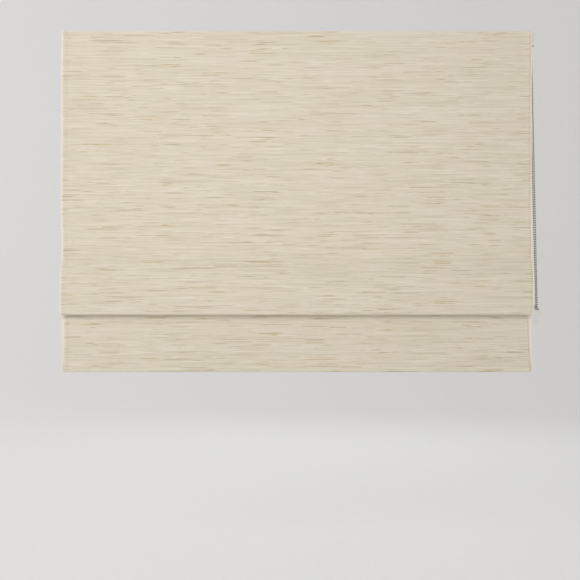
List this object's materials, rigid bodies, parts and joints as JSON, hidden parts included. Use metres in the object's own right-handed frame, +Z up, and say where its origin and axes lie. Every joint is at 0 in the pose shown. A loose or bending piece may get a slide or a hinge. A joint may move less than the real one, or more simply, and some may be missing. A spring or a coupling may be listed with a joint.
{
  "type": "roman blind",
  "caption": "Face-fixed roman blind in slub-weave cloth on a headrail, one fold drawn up over a lower flap, with rods, lift cords, a bottom bar and a side chain drive held by a wall tensioner.",
  "frame": {"origin": "on the wall plane, midway between the two screw holes of the centre bracket", "axes": "+X along the headrail towards the chain side, +Y into the wall, +Z up; the cloth faces -Y"},
  "size_m": [1.2265, 0.0738, 0.869],
  "materials": {
    "face_fabric": "slub weave in cream and beige",
    "lining_fabric": "plain cream lining",
    "fastening_tape": "white hook and loop tape",
    "lift_cord": "braided white cord",
    "white_rail": "satin white powder coat",
    "bar_aluminium": "satin",
    "bracket_steel": "satin white",
    "spring_steel": "bright",
    "shaft_steel": "zinc plated",
    "chain_metal": "nickel plated",
    "white_plastic": "moulded satin white",
    "drum_plastic": "moulded light grey",
    "clear_white_plastic": "moulded milky white",
    "clear_plastic": "clear moulded",
    "rod_fibreglass": "white fibreglass"
  },
  "bodies": {
    "headrail_assembly": {"headrail": "white_rail", "hook_tape": "fastening_tape", "loop_tape": "fastening_tape", "left_end_cap": "white_plastic", "control_housing": "white_plastic", "control_cover": "white_plastic", "clutch_spring": "spring_steel", "ball_chain": "chain_metal", "chain_joiner": "chain_metal", "chain_tensioner": "clear_plastic", "face_fabric_top": "face_fabric", "lining_top": "lining_fabric", "wall_bracket_left": "bracket_steel", "wall_bracket_centre": "bracket_steel", "wall_bracket_right": "bracket_steel", "bracket_clip_left": "spring_steel", "bracket_clip_centre": "spring_steel", "bracket_clip_right": "spring_steel", "cord_cradle_left": "white_plastic", "cord_cradle_centre": "white_plastic", "cord_cradle_right": "white_plastic", "lift_cord_left": "lift_cord", "lift_cord_centre": "lift_cord", "lift_cord_right": "lift_cord"},
    "cord_drive": {"drive_shaft": "shaft_steel", "shaft_bush": "drum_plastic", "chain_sprocket": "drum_plastic", "cord_drum_left": "drum_plastic", "cord_drum_centre": "drum_plastic", "cord_drum_right": "drum_plastic"},
    "upper_rod_panel": {"upper_rod": "rod_fibreglass", "upper_rod_caps": "clear_white_plastic", "upper_rod_pocket": "lining_fabric", "upper_cord_guides": "clear_white_plastic", "face_fabric_middle": "face_fabric", "lining_middle": "lining_fabric"},
    "middle_rod_panel": {"middle_rod": "rod_fibreglass", "middle_rod_caps": "clear_white_plastic", "middle_rod_pocket": "lining_fabric", "middle_cord_guides": "clear_white_plastic", "face_fabric_fold": "face_fabric", "lining_fold": "lining_fabric"},
    "lower_flap": {"lower_rod": "rod_fibreglass", "lower_rod_caps": "clear_white_plastic", "lower_rod_pocket": "lining_fabric", "lower_cord_guides": "clear_white_plastic", "face_fabric_flap": "face_fabric", "lining_flap": "lining_fabric", "cord_adjusters": "clear_white_plastic", "bottom_bar": "bar_aluminium", "bottom_bar_caps": "white_plastic"}
  },
  "joints": [
    {"name": "upper_rod_lift", "type": "slide", "parent": "headrail_assembly", "child": "upper_rod_panel", "axis": [0, 0, 1], "range_m": [0, 0.235], "deforming": ["face_fabric_top", "lining_top"]},
    {"name": "middle_rod_lift", "type": "slide", "parent": "upper_rod_panel", "child": "middle_rod_panel", "axis": [0, 0, 1], "range_m": [0, 0.277], "deforming": ["face_fabric_middle", "lining_middle"]},
    {"name": "flap_lift", "type": "slide", "parent": "middle_rod_panel", "child": "lower_flap", "axis": [0, 0, 1], "range_m": [-0.277, 0], "deforming": ["face_fabric_fold", "lining_fold", "lift_cord_left", "lift_cord_centre", "lift_cord_right"]},
    {"name": "shaft_turn", "type": "hinge", "parent": "headrail_assembly", "child": "cord_drive", "pos_m": [0, -0.0318, 0.001], "axis": [-1, 0, 0], "range_deg": [-1984, 0]}
  ],
  "couplings": [
    {"joint": "shaft_turn", "follows": "flap_lift", "rad_per_m": 125}
  ]
}
